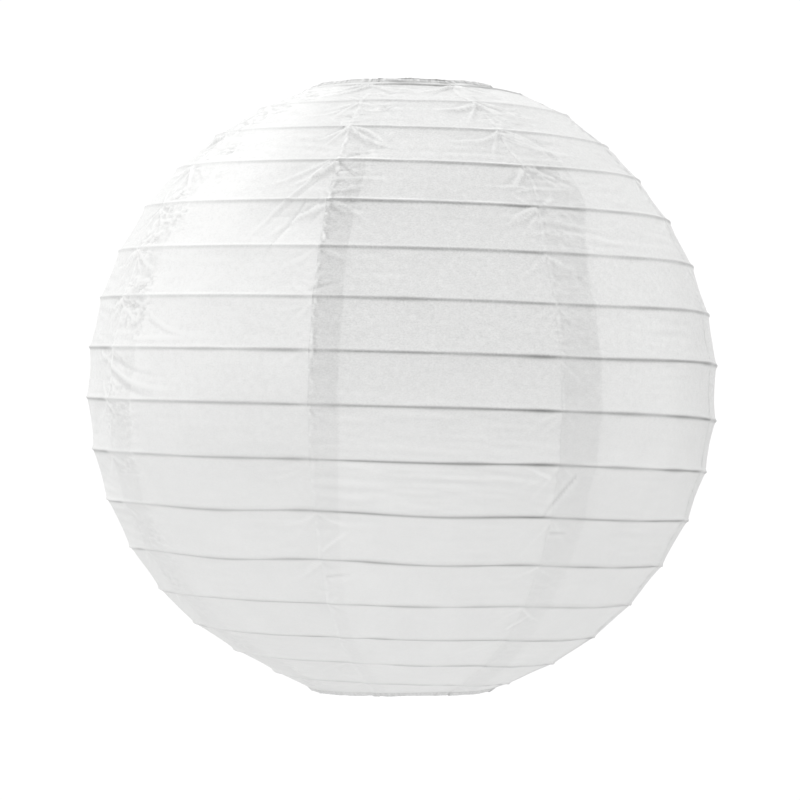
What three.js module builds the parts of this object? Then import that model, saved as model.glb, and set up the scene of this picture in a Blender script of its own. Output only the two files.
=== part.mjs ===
// Round paper lantern: eight paper gores glued edge over edge on one spiral wire,
// a wire ring in each opening, and a bent wire expander that stands between the
// rings and carries the loop that the lantern hangs from.
// Millimetres, +Z up. The origin is the seat of the hanging loop, the underside of
// its crown. The expander lies in the XZ plane.

import * as THREE from "three";

// Driving dimensions.
const BALL_R = 150; // outside of the paper over the ribs
const MOUTH_R = 42.75; // centreline of the wire ring in each opening
const GAP = 0.3; // between pieces that touch

const GORES = 8;
const FIRST_SEAM = 28.5; // degrees from +X, where gore_1's outer edge lies
const LAP = 6; // degrees by which a gore runs on under the next one
const PAPER = 0.35; // thickness
const TUCK = 0.8; // how much nearer the centre a gore's tucked edge lies
const GORE_COLUMNS = 6; // one for each lap, the rest shared out between them
const GORE_ROWS = 16;

const TURNS = 16;
const RIB_WIRE_R = 0.5;
const RIB_PATH_R = 147; // distance of the rib wire's centreline from the ball's centre
const RIB_STEPS = 20; // straight lengths in one turn
const RIB_SIDES = 5;

const WIRE_R = 1; // rings and expander
const WIRE_SIDES = 8;
const RING_STEPS = 32;

const LEG_X = 28; // the expander's legs stand this far from the axis
const BEND_R = 3;
const FOOT_TIP_X = 43.5; // a foot ends just past the ring that it stands on
const SHOULDER_X = 40; // centre of the hairpin that bears on the top ring
const HAIRPIN_R = 2.45;
const CROWN_R = 7; // the hanging loop's round top
const DIP_R = 4;
const DIP_DEPTH = 18; // from the ring's level down to the centre of each dip

// Worked out from the driving dimensions.
const RING_Z = Math.sqrt(BALL_R ** 2 - MOUTH_R ** 2) - GAP - PAPER;
const MOUTH_ANGLE = THREE.MathUtils.radToDeg(Math.asin(MOUTH_R / BALL_R));
const PAPER_ANGLE = MOUTH_ANGLE + 0.64; // the paper ends clear of the ring
const GORE_ANGLE = 360 / GORES;
const CROWN_Z = RING_Z;
const SEAT_Z = CROWN_Z - WIRE_R;
const FOOT_Z = -RING_Z + 2 * WIRE_R + GAP;
const HAIRPIN_REACH = HAIRPIN_R + 2 * WIRE_R + GAP;
const HAIRPIN_Z = RING_Z - Math.sqrt(HAIRPIN_REACH ** 2 - (MOUTH_R - SHOULDER_X) ** 2);

const paper = { color: 0xf3f2ef, roughness: 0.9, metalness: 0, side: THREE.DoubleSide };
const steel = { color: 0xb4b6b8, roughness: 0.35, metalness: 1 };

// A piece of wire through a list of points, one straight length between each two.
class BentWire extends THREE.Curve {
  constructor(points) {
    super();
    this.points = points;
    this.steps = points.length - 1;
  }

  getPoint(t, target = new THREE.Vector3()) {
    const place = Math.min(Math.max(t * this.steps, 0), this.steps);
    const from = Math.min(Math.floor(place), this.steps - 1);
    return target.lerpVectors(this.points[from], this.points[from + 1], place - from);
  }

  getPointAt(u, target) {
    return this.getPoint(u, target);
  }

  getTangentAt(u, target = new THREE.Vector3()) {
    const at = Math.round(u * this.steps);
    const before = this.points[Math.max(at - 1, 0)];
    const after = this.points[Math.min(at + 1, this.steps)];
    return target.subVectors(after, before).normalize();
  }
}

// The corners of a round section, with a flat side down.
function sectionPoints(radius, sides) {
  const corners = [];
  for (let i = 0; i < sides; i += 1) {
    const angle = -Math.PI / 2 + ((i + 0.5) * 2 * Math.PI) / sides;
    corners.push(new THREE.Vector2(radius * Math.cos(angle), radius * Math.sin(angle)));
  }
  return corners;
}

function wireGeometry(points, radius, sides) {
  const path = new BentWire(points);
  const section = new THREE.Shape(sectionPoints(radius, sides));
  return new THREE.ExtrudeGeometry(section, { steps: path.steps, extrudePath: path });
}

// The point on a sphere at these angles in degrees, down from +Z and round from +X.
function onSphere(radius, down, round) {
  const phi = THREE.MathUtils.degToRad(down);
  const theta = THREE.MathUtils.degToRad(round + 90);
  const spot = new THREE.Vector3().setFromSphericalCoords(radius, phi, theta);
  return new THREE.Vector3(spot.x, -spot.z, spot.y);
}

function named(name, geometry, look) {
  const mesh = new THREE.Mesh(geometry, new THREE.MeshStandardMaterial(look));
  mesh.name = name;
  return mesh;
}

// Degrees from a gore's outer edge to one of its columns of corners. The laps at its
// two edges are one column each, so that two lapped gores keep the same corners.
function columnAngle(column) {
  if (column === 0) {
    return 0;
  }
  if (column === GORE_COLUMNS) {
    return GORE_ANGLE + LAP;
  }
  return LAP + ((column - 1) * (GORE_ANGLE - LAP)) / (GORE_COLUMNS - 2);
}

// One gore: a flat slab bent on to the ball. The slab's X runs round the ball, its Y
// through the paper and its Z down the ball.
function goreGeometry(seam) {
  const slab = new THREE.BoxGeometry(1, 1, 1, GORE_COLUMNS, 1, GORE_ROWS);
  const corners = slab.attributes.position;
  for (let i = 0; i < corners.count; i += 1) {
    const column = Math.round((corners.getX(i) + 0.5) * GORE_COLUMNS);
    const away = columnAngle(column);
    const outer = BALL_R - (TUCK * away) / (GORE_ANGLE + LAP);
    const radius = outer - (0.5 - corners.getY(i)) * PAPER;
    const down = PAPER_ANGLE + (corners.getZ(i) + 0.5) * (180 - 2 * PAPER_ANGLE);
    const spot = onSphere(radius, down, seam + away);
    corners.setXYZ(i, spot.x, spot.y, spot.z);
  }
  slab.computeVertexNormals();
  return slab;
}

// The spiral wire starts and ends at a seam, and winds down anticlockwise seen from
// above, the same number of degrees down the ball in every turn.
function spiralPoints() {
  const start = FIRST_SEAM + 2 * GORE_ANGLE;
  const count = TURNS * RIB_STEPS;
  const points = [];
  for (let i = 0; i <= count; i += 1) {
    const down = MOUTH_ANGLE + (i / count) * (180 - 2 * MOUTH_ANGLE);
    points.push(onSphere(RIB_PATH_R, down, start + (i * 360) / RIB_STEPS));
  }
  return points;
}

// A wire ring about the Z axis, with a flat face all round its underside.
function ringGeometry() {
  const profile = sectionPoints(WIRE_R, WIRE_SIDES);
  profile.push(profile[0].clone());
  for (const corner of profile) {
    corner.x += MOUTH_R;
  }
  const ring = new THREE.LatheGeometry(profile, RING_STEPS);
  return ring.rotateX(Math.PI / 2);
}

// The right half of the expander's centreline, from the crown of the hanging loop to
// the tip of the foot.
function halfExpander() {
  const quarter = Math.PI / 2;
  const half = new THREE.Path();
  const dipX = CROWN_R + DIP_R;
  const armX = dipX + DIP_R;
  const armZ = HAIRPIN_Z + HAIRPIN_R;
  const strandZ = HAIRPIN_Z - HAIRPIN_R;
  half.absarc(0, CROWN_Z - CROWN_R, CROWN_R, quarter, 0, true);
  half.absarc(dipX, RING_Z - DIP_DEPTH, DIP_R, -2 * quarter, 0, false);
  half.absarc(armX + BEND_R, armZ - BEND_R, BEND_R, 2 * quarter, quarter, true);
  half.absarc(SHOULDER_X, HAIRPIN_Z, HAIRPIN_R, quarter, -quarter, true);
  half.absarc(LEG_X + BEND_R, strandZ - BEND_R, BEND_R, quarter, 2 * quarter, false);
  half.absarc(LEG_X + BEND_R, FOOT_Z + BEND_R, BEND_R, 2 * quarter, 3 * quarter, false);
  half.lineTo(FOOT_TIP_X, FOOT_Z);
  return half.getPoints(3);
}

function expanderPoints() {
  const right = halfExpander().map((spot) => new THREE.Vector3(spot.x, 0, spot.y));
  const left = right.slice(1).map((spot) => new THREE.Vector3(-spot.x, 0, spot.z));
  return [...left.reverse(), ...right];
}

const lantern = new THREE.Group();
lantern.position.z = -SEAT_Z; // the pieces are built about the ball's centre

for (let i = 0; i < GORES; i += 1) {
  const seam = FIRST_SEAM + i * GORE_ANGLE;
  lantern.add(named(`gore_${i + 1}`, goreGeometry(seam), paper));
}

lantern.add(named("spiral_rib", wireGeometry(spiralPoints(), RIB_WIRE_R, RIB_SIDES), steel));
lantern.add(named("expander", wireGeometry(expanderPoints(), WIRE_R, WIRE_SIDES), steel));

const topRing = named("top_ring", ringGeometry(), steel);
topRing.position.z = RING_Z;
lantern.add(topRing);

const bottomRing = named("bottom_ring", ringGeometry(), steel);
bottomRing.position.z = -RING_Z;
lantern.add(bottomRing);

const part = new THREE.Group();
part.add(lantern);

export default part;
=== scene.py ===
import math
from collections import namedtuple

import bpy
import numpy as np
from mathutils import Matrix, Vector


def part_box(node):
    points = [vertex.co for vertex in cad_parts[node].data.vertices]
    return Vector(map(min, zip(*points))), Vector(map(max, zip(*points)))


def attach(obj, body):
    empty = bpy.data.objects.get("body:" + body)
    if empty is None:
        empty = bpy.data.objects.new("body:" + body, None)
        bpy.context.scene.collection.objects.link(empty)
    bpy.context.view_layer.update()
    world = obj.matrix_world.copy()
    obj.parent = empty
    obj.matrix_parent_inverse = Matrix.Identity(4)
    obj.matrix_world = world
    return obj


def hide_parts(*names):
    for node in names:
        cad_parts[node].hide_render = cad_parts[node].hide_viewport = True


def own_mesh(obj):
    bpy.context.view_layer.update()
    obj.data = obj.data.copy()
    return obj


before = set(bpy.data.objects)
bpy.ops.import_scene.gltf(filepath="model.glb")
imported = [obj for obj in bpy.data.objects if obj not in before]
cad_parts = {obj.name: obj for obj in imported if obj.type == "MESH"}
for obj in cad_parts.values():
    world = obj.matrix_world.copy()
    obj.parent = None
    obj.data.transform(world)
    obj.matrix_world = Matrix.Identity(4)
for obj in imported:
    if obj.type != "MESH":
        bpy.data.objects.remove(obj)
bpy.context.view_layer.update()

# Round paper lantern. Everything is in metres, in the frame of the CAD model. Angles
# are in degrees: "down" is measured from +Z down the ball, "round" from +X.

MM = 0.001

# ---------------------------------------------------------------- sizes from the frame

OCTAGON = math.cos(math.pi / 8)  # the CAD wire's section is an octagon
top_low, top_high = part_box("top_ring")
bottom_low, bottom_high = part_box("bottom_ring")
TOP_RING_Z = (top_low.z + top_high.z) / 2
BOTTOM_RING_Z = (bottom_low.z + bottom_high.z) / 2
CENTRE_Z = (TOP_RING_Z + BOTTOM_RING_Z) / 2
RING_Z = (TOP_RING_Z - BOTTOM_RING_Z) / 2
WIRE_R = (top_high.z - top_low.z) / 2 / OCTAGON
MOUTH_R = top_high.x - WIRE_R * OCTAGON

# ---------------------------------------------------------------- the lantern's layout

BALL_R = 0.150  # outside of the paper over the ribs
PAPER_R = 0.1495  # base surface of a gore's tucked layer
PAPER_R_MM = PAPER_R / MM
LAYER = 0.28 * MM  # the upper layer lies this much higher in a lap
GORES = 8
GORE_ANGLE = 360 / GORES
START = 118.5  # where the spiral wire starts; gore_3's outer edge
START_GORE = 3
TURNS = 16
MOUTH_ANGLE = math.degrees(math.asin(MOUTH_R / BALL_R))
END_ANGLE = MOUTH_ANGLE + 0.75  # a gore ends here, clear of the ring, and the hem begins
PITCH = (180 - 2 * MOUTH_ANGLE) / TURNS
PITCH_ARC = math.radians(PITCH) * PAPER_R
THINNEST_BAND = 0.01
RIB_WIRE_R = 0.5 * MM

# The seams in order from START on. Each is the cut edge of its outer gore and the glue
# lap to the right of it. width is the lap's in millimetres, taper how much of it is left
# near the bottom, and flare how much wider it is in the upper third. The rest moves the
# seam, in degrees: shift all of it, lean at the top ring and the opposite at the bottom,
# drift near the bottom, step from the middle down, and bow in the upper third. crumple
# says how creased the paper is in the lap, and folds how strongly it wrinkles beside it.
Seam = namedtuple("Seam", "width taper shift lean drift bow crumple folds step flare")
SEAMS = [
    Seam(12.0, 0.80, 0.30, 0.4, -1.2, 0.3, 0.50, 1.0, 0.0, 0.0),
    Seam(15.0, 0.70, -0.40, -0.6, 1.4, -0.5, 0.70, 1.0, 0.0, 0.0),
    Seam(24.0, 0.85, -1.50, 0.0, 0.8, 0.0, 1.00, 1.0, -3.6, 0.0),
    Seam(14.0, 0.55, 0.40, 1.0, -1.6, 0.0, 0.35, 1.0, 0.0, 0.0),
    Seam(21.5, 0.65, -0.35, -1.9, 0.6, 2.3, 0.30, 1.0, 0.0, 0.25),
    Seam(14.0, 0.90, 1.00, 0.3, 1.1, -0.4, 0.40, 0.3, 0.0, 0.0),
    Seam(17.0, 0.60, 0.50, -0.5, -1.6, 0.6, 0.90, 1.0, 0.0, 0.0),
    Seam(13.5, 0.75, -0.20, 0.2, 0.7, -0.2, 0.50, 1.0, 0.0, 0.0),
]

# The lists below have one value for each gore, in the same order.

# Painted shade beside the top ring, and its tone, partly its own and partly painted light
# and shade, in the upper half and in the lower half.
TOP_SHADE = [-0.03, -0.05, -0.05, -0.02, -0.01, -0.02, -0.04, -0.02]
UPPER_TONE_AND_SHADE = [-0.030, -0.010, 0.062, -0.048, -0.004, 0.004, -0.030, -0.010]
LOWER_TONE_AND_SHADE = [0.006, -0.010, -0.014, 0.012, 0.004, -0.010, 0.012, -0.006]

# How much painted shade darkens it towards its right edge, high up and half way down, and
# in the middle of its upper half.
RIGHT_HIGH = [0, 0, 0.105, 0, 0, 0, 0.02, 0]
RIGHT_MIDDLE = [0, 0, 0.03, 0, 0.065, 0, 0, 0.01]
DUSK = [0, 0, 0, 0.035, 0, 0, 0.015, 0]

# How dark the ribs show through it, the wire with a painted shadow under it, how much less
# of that is left at its left edge in the upper half, and how much less at its right edge.
RIB_SHOWS = [1.1, 0.6, 0.80, 1.0, 0.95, 0.70, 1.05, 0.95]
RIB_FADES = [0, 1.1, 0.70, 0, 0.42, 0.1, 0, 0.1]
RIGHT_RIBS = [0, 0, 0, 0, 0.45, 0, 0, 0.2]

# How clear a ridge the paper makes just above the ribs in the upper half, with a painted
# highlight along it, how clear the grain of the paper is, and how much it is streaked along
# the ribs below the middle.
RIDGES = [0.2, 0.2, 0.15, 1.0, 0.5, 0.2, 0.5, 0.2]
GRAIN = [0.8, 0.8, 0.65, 1.0, 0.75, 0.9, 1.0, 0.85]
STREAKS = [0.15, 0.3, 0.05, 0.42, 0.05, 0.2, 0.4, 0.1]

# How clearly the painted shade of its glue lap shows, how bright the painted highlight on
# its cut edge is, how much of that is left near the top, and how dark the painted shade of
# its strands is at the top ring.
LAP_SHOWS = [0.9, 0.8, 0.65, 1.0, 1.0, 0.40, 1.0, 0.9]
EDGE_HIGHLIGHT = [1.2, 1.5, 1.0, 2.2, 1.0, 0.5, 1.6, 1.2]
EDGE_SHOWS = [0.4, 0.7, 0.5, 0.25, 0.8, 0.3, 0.8, 0.4]
HEM_SHADE = [0.6, 1.2, 0.8, 4.2, 2.8, 0.6, 2.4, 0.9]

# How dark each turn of the wire shows through the paper, with the painted shadow under it,
# from the top ring down.
TURN_SHOWS = np.array([
    0.95, 0.16, 0.47, 0.76, 1.02, 0.90, 0.92, 1.08, 1.12,
    1.12, 1.05, 0.92, 0.70, 1.10, 1.25, 1.25, 1.0,
])


def radians(degrees):
    return np.radians(degrees)


def smooth(low, high, x):
    t = np.clip((x - low) / (high - low), 0, 1)
    return t * t * (3 - 2 * t)


def bell(x, centre, width):
    """1 at the centre, and less on both sides of it."""
    return np.exp(-(((x - centre) / width) ** 2))


def plateau(x, centre, width):
    """Like bell, with a flatter top and steeper sides."""
    return np.exp(-(((x - centre) / width) ** 4))


def on_ball(radius, down, round_):
    """Points on a sphere about the lantern's centre."""
    flat = radius * np.sin(radians(down))
    x = flat * np.cos(radians(round_))
    y = flat * np.sin(radians(round_))
    z = CENTRE_Z + radius * np.cos(radians(down))
    return np.stack([x, y, z], axis=-1)


def seam_angle(k, down):
    """Where the outer edge of gore k, counted from START, runs at each height."""
    seam = SEAMS[k % GORES]
    lean = seam.lean * np.cos(radians(down))
    drift = seam.drift * smooth(110, 160, down)
    step = seam.step * smooth(76, 106, down)
    bow = bell(down, 53, 8) - 1.8 * bell(down, 25, 6) + 3.6 * bell(down, MOUTH_ANGLE, 4.5)
    return START + k * GORE_ANGLE + seam.shift + lean + drift + step + seam.bow * bow


def right_of_seam(k, down, round_):
    """How many mm a point lies to the right of a seam, along the paper."""
    return radians(round_ - seam_angle(k, down)) * (PAPER_R_MM * np.sin(radians(down)))


def lap_width(k, down):
    seam = SEAMS[k % GORES]
    flare = seam.flare * bell(down, 56, 9)
    return seam.width * (1 + flare - (1 - seam.taper) * smooth(95, 140, down))


def lap_angle(k, down):
    return np.degrees(lap_width(k, down) * MM / (PAPER_R * np.sin(radians(down))))


def beside_lap(x, lap):
    """How far outside a lap a point lies that is x to the right of the seam."""
    return np.maximum(np.abs(x - lap / 2) - lap / 2, 0)


def coil_down(turn):
    """How far down the ball the spiral wire lies after so many turns. The coils are a
    little further apart above the lower third than in it, sag between the seams in the
    lower half, and run a little higher on the right side of the upper half."""
    even = MOUTH_ANGLE + PITCH * np.clip(turn, 0, TURNS)
    drift = 0.70 * bell(even, 128, 17) - 0.5 * bell(even, 157, 5)
    held = smooth(MOUTH_ANGLE, MOUTH_ANGLE + 6, even) * (1 - smooth(152, 160, even))
    sag = np.sin(np.pi * GORES * turn) ** 2 - 0.5
    sag = sag * smooth(98, 112, even) * (1 + 0.9 * WOBBLE(turn * 5, 7.5))
    past = (turn * 360 + START - 300) % 360
    raised = smooth(0, 45, past) * (1 - smooth(80, 120, past))
    raised *= smooth(38, 50, even) * (1 - smooth(86, 98, even))
    wobble = 0.15 * WOBBLE(turn * 10, 0.5)
    return even + drift - 0.85 * raised + held * (wobble + 0.42 * sag)


def rib_down(n, round_):
    """How far down the ball turn n of the spiral wire lies at each angle round."""
    return coil_down(n + (round_ - START) / 360)


def band_edges(band, round_):
    """How far down the ball the upper and the lower edge of a band lie. Where the spiral
    has not yet begun, or is at its end, the band is next to nothing."""
    above = np.where(band == 0, END_ANGLE, rib_down(band - 1, round_))
    above = np.clip(above, END_ANGLE, 180 - END_ANGLE - THINNEST_BAND)
    below = np.where(band == TURNS, 180 - END_ANGLE, rib_down(band, round_))
    return above, np.clip(below, above + THINNEST_BAND, 180 - END_ANGLE)


def from_mouth(down):
    """How far a point is from the nearer end ring."""
    return np.minimum(down - MOUTH_ANGLE, 180 - MOUTH_ANGLE - down)


def base_radius(down, round_):
    """The gores' base surface: nearly a ball, a little wider than it is tall, fuller
    near the top on one side and tighter near the bottom on the other."""
    wide = 1.2 * np.sin(radians(down)) ** 2
    plus_x = 0.5 + 0.5 * np.cos(radians(round_))
    full = 2.3 * bell(down, 29, 13) * plus_x
    tight = 1.9 * bell(down, 151, 11) * (1 - plus_x)
    held = 1 - bell(from_mouth(down), 0, 4)
    return PAPER_R + (wide + (full - tight) * held) * MM


# ---------------------------------------------------------------- paper relief


class Noise:
    """Smooth value noise on a lattice, the same in every run."""

    SIZE = 256

    def __init__(self, seed):
        self.grid = np.random.default_rng(seed).random((self.SIZE, self.SIZE)) * 2 - 1

    def __call__(self, x, y):
        x, y = np.broadcast_arrays(np.asarray(x, float), np.asarray(y, float))
        x0, y0 = np.floor(x).astype(int), np.floor(y).astype(int)
        u, v = x - x0, y - y0
        u, v = u * u * (3 - 2 * u), v * v * (3 - 2 * v)
        x0, y0 = x0 % self.SIZE, y0 % self.SIZE
        x1, y1 = (x0 + 1) % self.SIZE, (y0 + 1) % self.SIZE
        low = self.grid[y0, x0] * (1 - u) + self.grid[y0, x1] * u
        high = self.grid[y1, x0] * (1 - u) + self.grid[y1, x1] * u
        return low * (1 - v) + high * v


WAVES = Noise(11)
FINE = Noise(12)
CRUMPLE = Noise(13)
BUCKLE = Noise(14)
EDGE = Noise(15)
WARP = Noise(16)
WOBBLE = Noise(17)

DIP = 1.15  # mm that the paper dips half way between two ribs
RIB_RISE = 0.50  # mm that it rises over the wire
RIB_SPREAD = 0.75  # mm from the wire's centre to where the rise has died away
RING_RISE = 0.95  # mm that it rises to go over an end ring
RING_SPREAD = 1.8  # mm from the ring to where most of that has died away
# The dark line is the wire seen through the paper with a painted shadow under the rib.
SHADE_BELOW = 0.65  # mm from a rib down to the middle of the dark line of its wire
FOLDS_AT_CROSSING = 9

# A fold starts x mm to the right of the place where a seam crosses a turn of the spiral
# wire and y mm below it, and runs to the right (side 1) or to the left (side -1), slope
# mm down for each mm along, changing by bend for each mm. It is a crest, or a valley
# where its height is negative. Those of seams 2 to 4 are placed as the photograph shows
# them, and the others are made up.
Fold = namedtuple("Fold", "seam turn x y side slope bend length height width")
LONG_FOLDS = [
    Fold(3, 3, -2.0, 0.5, -1, 1.42, -0.011, 37, 0.65, 0.45),
    Fold(3, 3, 0.5, 1.8, -1, 1.42, -0.011, 30, -0.28, 0.40),
    Fold(3, 3, -3.0, 0.5, -1, 0.64, -0.012, 31, 0.50, 0.60),
    Fold(3, 4, -10.0, 1.0, -1, 1.90, -0.020, 17, -0.45, 0.55),
    Fold(3, 4, -3.0, 2.5, -1, 0.78, -0.008, 25, 0.50, 0.70),
    Fold(3, 4, -7.0, 5.0, -1, 0.95, -0.010, 20, -0.35, 1.00),
    Fold(3, 2, -1.0, 0.3, -1, 0.80, -0.020, 16, -0.50, 0.70),
    Fold(3, 3, 0.0, 8.5, 1, -0.55, 0.040, 16, -0.55, 0.80),
    Fold(3, 3, 0.0, 12.0, 1, -0.08, 0.010, 28, 0.50, 0.70),
    Fold(3, 3, 1.0, 20.0, 1, -0.35, 0.020, 15, 0.40, 0.80),
    Fold(3, 3, 4.0, -1.0, 1, -0.90, 0.110, 15, -0.55, 0.90),
    Fold(3, 5, -2.0, 21.5, 1, -0.45, 0.020, 14, -0.45, 0.60),
    Fold(4, 2, 0.0, 0.8, -1, 1.00, -0.070, 28, 0.50, 0.60),
    Fold(4, 2, 0.0, 1.0, -1, 1.55, 0.0, 11, 0.55, 0.60),
    Fold(4, 2, 1.0, 0.8, 1, 0.10, 0.055, 26, 0.55, 0.60),
    Fold(4, 3, 2.0, 1.2, 1, 0.95, -0.010, 14, 0.65, 0.70),
    Fold(4, 3, 7.0, 1.0, 1, 0.58, 0.0, 24, -0.55, 1.10),
    Fold(4, 3, -9.0, 15.5, 1, -0.35, 0.030, 32, 0.60, 0.60),
    Fold(4, 3, -4.0, 12.5, -1, -0.02, 0.0, 24, 0.40, 0.80),
    Fold(4, 9, 10.0, 6.5, -1, 1.25, 0.0, 17, -0.60, 0.50),
    Fold(4, 9, -3.0, 7.0, -1, -0.40, 0.0, 16, 0.35, 0.80),
    Fold(4, 10, 1.0, 9.0, 1, 0.0, 0.0, 10, -0.50, 0.50),
    Fold(4, 12, -3.0, 16.0, 1, -1.10, 0.0, 9, 0.45, 0.60),
    Fold(3, 10, 2.0, 21.0, 1, -0.80, 0.010, 15, 0.25, 0.60),
    Fold(3, 11, 2.0, 11.0, 1, -0.15, 0.0, 12, -0.35, 0.50),
    Fold(2, 7, 0.0, 8.5, 1, 0.42, -0.0072, 58, 0.75, 1.20),
    Fold(2, 7, 2.0, 5.0, 1, 0.34, -0.0060, 50, -0.45, 1.10),
    Fold(2, 7, 0.0, 11.5, 1, 0.46, -0.0080, 48, -0.45, 1.00),
    Fold(2, 7, -14.0, 2.5, 1, 0.35, 0.0, 20, 0.55, 1.00),
    Fold(2, 6, 30.0, 10.0, 1, 0.55, -0.0150, 38, 0.32, 0.70),
    Fold(2, 6, 28.0, 12.0, 1, 0.50, -0.0140, 34, -0.18, 0.80),
    Fold(2, 6, 20.0, 20.5, 1, 0.02, 0.0, 50, 0.45, 0.90),
    Fold(6, 3, -2.0, 1.0, -1, 1.30, -0.012, 36, 0.70, 0.90),
    Fold(6, 6, 12.0, 6.0, 1, 0.45, -0.008, 50, 0.65, 1.10),
    Fold(1, 4, 3.0, 1.0, 1, 1.10, -0.012, 34, 0.65, 0.90),
    Fold(0, 5, -2.0, 2.0, -1, 0.70, -0.012, 40, 0.55, 1.00),
    Fold(5, 4, 1.0, 1.0, 1, 0.90, -0.015, 36, 0.30, 0.90),
    Fold(7, 3, -1.0, 1.0, -1, 1.20, -0.012, 30, 0.60, 0.90),
]


def crossing_folds(seam, turn):
    """The folds that fan out from one place where a rib crosses a seam."""
    rng = np.random.default_rng(1000 + seam * 50 + turn)
    folds = []
    for _ in range(FOLDS_AT_CROSSING):
        side = 1 if rng.random() < 0.5 else -1
        kind = rng.random()
        if kind < 0.40:
            slope, bend = rng.uniform(0.55, 1.5), 0.0
            length = rng.uniform(7, 16)
        elif kind < 0.72:
            slope, bend = rng.uniform(0.5, 1.0), -rng.uniform(0.02, 0.06)
            length = rng.uniform(14, 30)
        elif kind < 0.86:
            slope, bend = rng.uniform(0.0, 0.2), rng.uniform(0.03, 0.06)
            length = rng.uniform(14, 26)
        else:
            slope, bend = -rng.uniform(0.4, 1.1), 0.0
            length = rng.uniform(6, 13)
        height = rng.uniform(0.25, 0.75)
        if rng.random() < 0.35:
            height *= -0.45
        start_x, start_y = rng.uniform(-1.5, 1.5), rng.uniform(0.3, 3.0)
        width = rng.uniform(0.45, 0.95)
        fold = (seam, turn, start_x, start_y, side, slope, bend, length, height, width)
        folds.append(Fold(*fold))
    return folds


def fold_height(fold, x, y):
    """A fold's part of the relief, in mm, at points given from its crossing."""
    along = (x - fold.x) * fold.side
    # Where its bend has made it level, it runs on level.
    level = abs(fold.slope / fold.bend) if fold.slope * fold.bend < 0 else math.inf
    t = np.clip(along, 0, min(level, fold.length))
    curve = fold.slope * t + fold.bend * t**2 / 2
    slant = fold.slope + fold.bend * t
    off = (y - fold.y - curve) / np.sqrt(1 + slant**2)
    # It is sharper below its crest than above it, and widens along its length.
    spread = fold.width * np.where(off > 0, 0.75, 1.35) * (0.8 + 0.6 * t / fold.length)
    crest = np.exp(0.28 - np.sqrt((off / spread) ** 2 + 0.08))
    reach = np.clip(along / 1.5 + 0.4, 0, 1) * np.clip(1.6 * (1 - along / fold.length), 0, 1)
    return fold.height * crest * reach


def seam_folds(seam, down, x, strength):
    """All the folds of one seam, in mm. x is mm to the right of it. strength is that of
    the folds at the crossings; the long folds have their full height."""
    total = np.zeros_like(x)
    edge = seam_angle(seam, down)
    for turn in range(TURNS):
        y = radians(down - rib_down(turn, edge)) * PAPER_R_MM
        near = (np.abs(x) < 36) & (y > -16) & (y < 32)
        for fold in crossing_folds(seam % GORES, turn):
            total[near] += fold_height(fold, x[near], y[near]) * strength[near]
        near = (np.abs(x) < 75) & (y > -30) & (y < 62)
        for fold in LONG_FOLDS:
            if (fold.seam, fold.turn) == (seam % GORES, turn):
                total[near] += fold_height(fold, x[near], y[near])
    return total


def crumpled(seam, x, y):
    """Sharp little creases in the glued paper, in mm. x and y are mm on the paper."""
    warp_x = x + 2.4 * WARP(x / 6.5 + seam * 17, y / 5.5)
    warp_y = y + 1.7 * WARP(x / 8.0 + 90, y / 6.5 + seam * 23)
    large = np.abs(CRUMPLE(warp_x / 7.5 + seam * 31, warp_y / 2.8))
    small = np.abs(CRUMPLE(warp_x / 4.0 + 70, warp_y / 1.7 + seam * 13))
    large = (1 - np.minimum(large / 0.45, 1)) ** 1.5
    return 0.62 * large + 0.38 * (1 - np.minimum(small / 0.5, 1))


# Where the points of a gore's paper lie. band counts the spaces between two ribs from the
# top, and share says how far from the upper to the lower rib a point is. along is mm from
# the middle of the gore, from_above and from_below are mm from the two ribs, and has_above
# and has_below say whether those are ribs and not ends. full is how wide the band is
# beside a whole one, arch is 1 half way between the ribs, and free is 0 on a rib and 1
# away from it.
Place = namedtuple(
    "Place",
    "down round_ band share along from_above from_below has_above has_below full arch free",
)


def place_on(k, down, round_, band, share):
    above, below = band_edges(band, round_)
    height = radians(below - above) * PAPER_R_MM
    middle = START + (k + 0.5) * GORE_ANGLE
    full = height / (PITCH_ARC / MM)
    arch = 4 * share * (1 - share)
    return Place(
        down=down,
        round_=round_,
        band=band,
        share=share,
        along=radians(round_ - middle) * PAPER_R_MM * np.sin(radians(down)),
        from_above=share * height,
        from_below=(1 - share) * height,
        has_above=(band > 0) * np.clip(full * 4, 0, 1),
        has_below=(band < TURNS) * np.clip(full * 4, 0, 1),
        full=full,
        arch=arch,
        free=np.clip(2.2 * arch, 0, 1) * np.clip(full * 2, 0, 1),
    )


def dips_and_rises(p):
    """The dip between two ribs, uneven along the rib and with a broad buckle, and the
    rises over the wires and the two rings."""
    uneven = 1 + 0.22 * BUCKLE(p.round_ / 9 + 40, p.band * 3.7 + 5)
    tight = 1 - 0.45 * smooth(112, 135, p.down) - 0.35 * (1 - smooth(50, 72, p.down))
    out = -DIP * p.full**2 * p.arch * uneven * tight
    over_above = bell(p.from_above, 0, RIB_SPREAD) * p.has_above
    over_below = bell(p.from_below, 0, RIB_SPREAD) * p.has_below
    out += RIB_RISE * np.maximum(over_above, over_below)
    out += RING_RISE * bell(radians(from_mouth(p.down)) * PAPER_R_MM, 0, RING_SPREAD)
    buckle = BUCKLE(p.round_ / 5, p.band * 2.3 + p.from_above / 14)
    return out + 0.30 * p.arch * np.clip(p.full * 2, 0, 1) * buckle


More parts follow.
